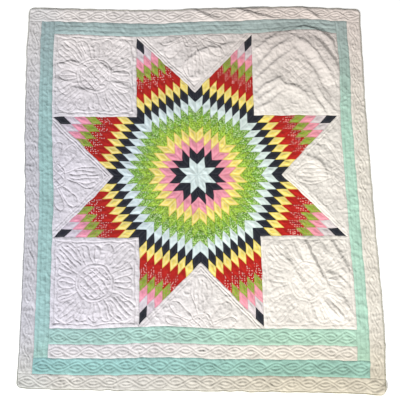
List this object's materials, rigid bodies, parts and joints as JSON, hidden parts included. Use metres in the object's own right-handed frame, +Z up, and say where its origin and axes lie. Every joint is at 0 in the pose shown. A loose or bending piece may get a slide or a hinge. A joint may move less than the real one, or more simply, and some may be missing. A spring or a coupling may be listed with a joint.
{
  "type": "star quilt blanket",
  "caption": "Rectangular hand-quilted blanket with a large eight-pointed star pieced from small diamonds, framed by mint and white strips and bound at the edge, lying flat.",
  "frame": {"origin": "middle of the laid cloth's box, on the surface that it rests on", "axes": "+Z up out of the face, +Y towards the head edge, +X to the right when the foot edge is near"},
  "size_m": [2.1219, 2.3713, 0.022],
  "materials": {
    "star_patchwork": "matte pieced cotton in navy, pale blue, pink, yellow, green and red diamonds",
    "white_cotton": "matte white quilted cotton",
    "mint_cotton": "matte mint green quilted cotton",
    "binding_cotton": "matte off-white cotton binding"
  },
  "bodies": {
    "root": {"star_point_1": "star_patchwork", "star_point_2": "star_patchwork", "star_point_3": "star_patchwork", "star_point_4": "star_patchwork", "star_point_5": "star_patchwork", "star_point_6": "star_patchwork", "star_point_7": "star_patchwork", "star_point_8": "star_patchwork", "corner_square_1": "white_cotton", "corner_square_2": "white_cotton", "corner_square_3": "white_cotton", "corner_square_4": "white_cotton", "side_triangle_1": "white_cotton", "side_triangle_2": "white_cotton", "side_triangle_3": "white_cotton", "side_triangle_4": "white_cotton", "mint_top": "mint_cotton", "mint_left": "mint_cotton", "mint_right": "mint_cotton", "mint_foot_upper": "mint_cotton", "mint_foot_lower": "mint_cotton", "white_foot_strip": "white_cotton", "border_top": "white_cotton", "border_foot": "white_cotton", "border_left": "white_cotton", "border_right": "white_cotton", "binding_top": "binding_cotton", "binding_foot": "binding_cotton", "binding_left": "binding_cotton", "binding_right": "binding_cotton"}
  },
  "joints": []
}
